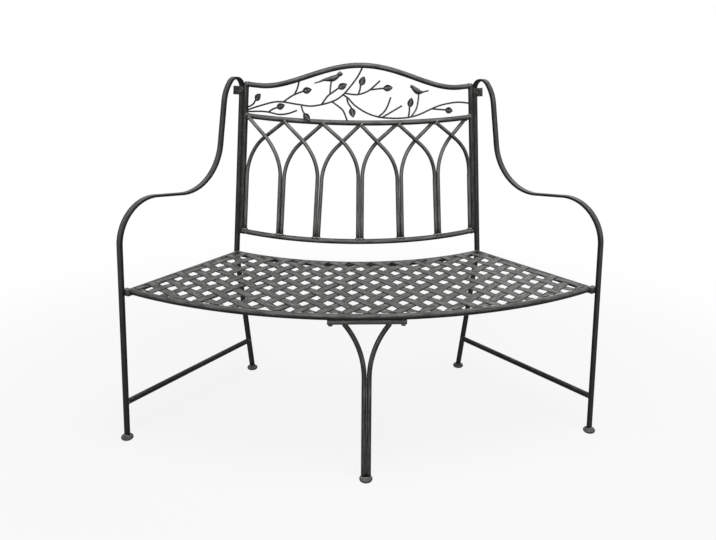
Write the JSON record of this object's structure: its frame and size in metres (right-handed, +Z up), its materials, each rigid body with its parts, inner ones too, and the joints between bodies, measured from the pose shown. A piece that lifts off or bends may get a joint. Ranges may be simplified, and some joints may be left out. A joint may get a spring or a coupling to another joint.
{
  "type": "garden bench",
  "caption": "Curved steel garden bench with a woven strip seat, looped strap arms, a leaning back of pointed arches under a vine, and a centre leg.",
  "frame": {"origin": "on the floor, midway between the front of the centre foot and the back of the rear feet, on the plane of symmetry of the frame", "axes": "+X to the right of the bench as seen from its front, along its longest side; +Y to its back, so the bench faces -Y; +Z up"},
  "size_m": [1.2648, 0.6442, 0.9676],
  "materials": {
    "frame_steel": "satin charcoal paint, rubbed with pale pewter along the middles of the bars",
    "seat_steel": "satin grey paint with darker edges where strips cross",
    "vine_steel": "satin charcoal paint",
    "fixing_steel": "painted over, worn paler on the edges"
  },
  "bodies": {
    "root": {"left_arm_strap": "frame_steel", "right_arm_strap": "frame_steel", "left_rear_post": "frame_steel", "right_rear_post": "frame_steel", "left_stretcher": "frame_steel", "right_stretcher": "frame_steel", "left_hook_tab": "fixing_steel", "right_hook_tab": "fixing_steel", "front_left_foot": "frame_steel", "front_right_foot": "frame_steel", "rear_left_foot": "frame_steel", "rear_right_foot": "frame_steel", "centre_foot": "frame_steel", "seat_front_rim": "frame_steel", "seat_rear_rim": "frame_steel", "seat_left_rim": "frame_steel", "seat_right_rim": "frame_steel", "seat_strips_leaning_right": "seat_steel", "seat_strips_leaning_left": "seat_steel", "seat_stiffener_left": "frame_steel", "seat_stiffener_middle": "frame_steel", "seat_stiffener_right": "frame_steel", "seat_left_lug": "fixing_steel", "seat_right_lug": "fixing_steel", "centre_leg_left_rod": "frame_steel", "centre_leg_right_rod": "frame_steel", "centre_leg_crossbar": "frame_steel", "left_stile": "frame_steel", "right_stile": "frame_steel", "bottom_rail": "frame_steel", "middle_rail": "frame_steel", "top_rail": "frame_steel", "arch_rods_rising_left": "frame_steel", "arch_rods_rising_right": "frame_steel", "vine_upper_stem": "vine_steel", "vine_middle_stem": "vine_steel", "vine_lower_stem": "vine_steel", "vine_twigs": "vine_steel", "vine_leaves": "vine_steel", "left_bird": "vine_steel", "right_bird": "vine_steel", "hook_bolts": "fixing_steel", "hook_nuts": "fixing_steel", "crossbar_bolts": "fixing_steel"}
  },
  "joints": []
}
